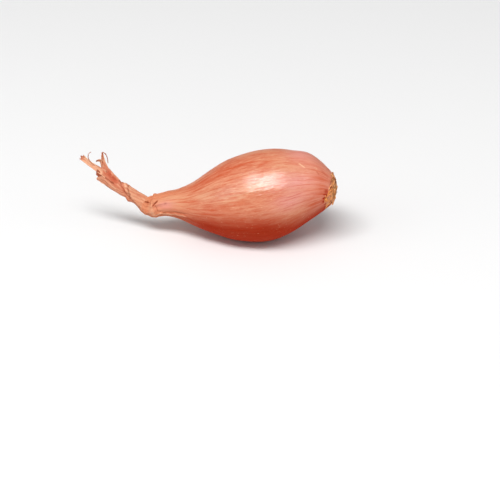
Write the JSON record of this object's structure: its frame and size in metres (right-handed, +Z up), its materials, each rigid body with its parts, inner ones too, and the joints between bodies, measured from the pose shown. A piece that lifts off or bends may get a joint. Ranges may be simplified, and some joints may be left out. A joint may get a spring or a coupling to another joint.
{
  "type": "banana shallot",
  "caption": "Long copper-skinned shallot bulb lying on its side, with a folded dry neck split into torn leaf ends and a trimmed root plate.",
  "frame": {"origin": "on the small flat spot under the bulb that it rests on", "axes": "+X from the neck towards the root end, +Z up, +Y away from the side that the neck's flat face shows"},
  "size_m": [0.1212, 0.0418, 0.0439],
  "materials": {
    "papery_skin": "thin dry copper-pink skin with fine lengthwise veins, satin",
    "dry_root": "dry corky tan plate with short brown root ends, matt"
  },
  "bodies": {
    "root": {"bulb": "papery_skin", "root_plate": "dry_root"}
  },
  "joints": []
}
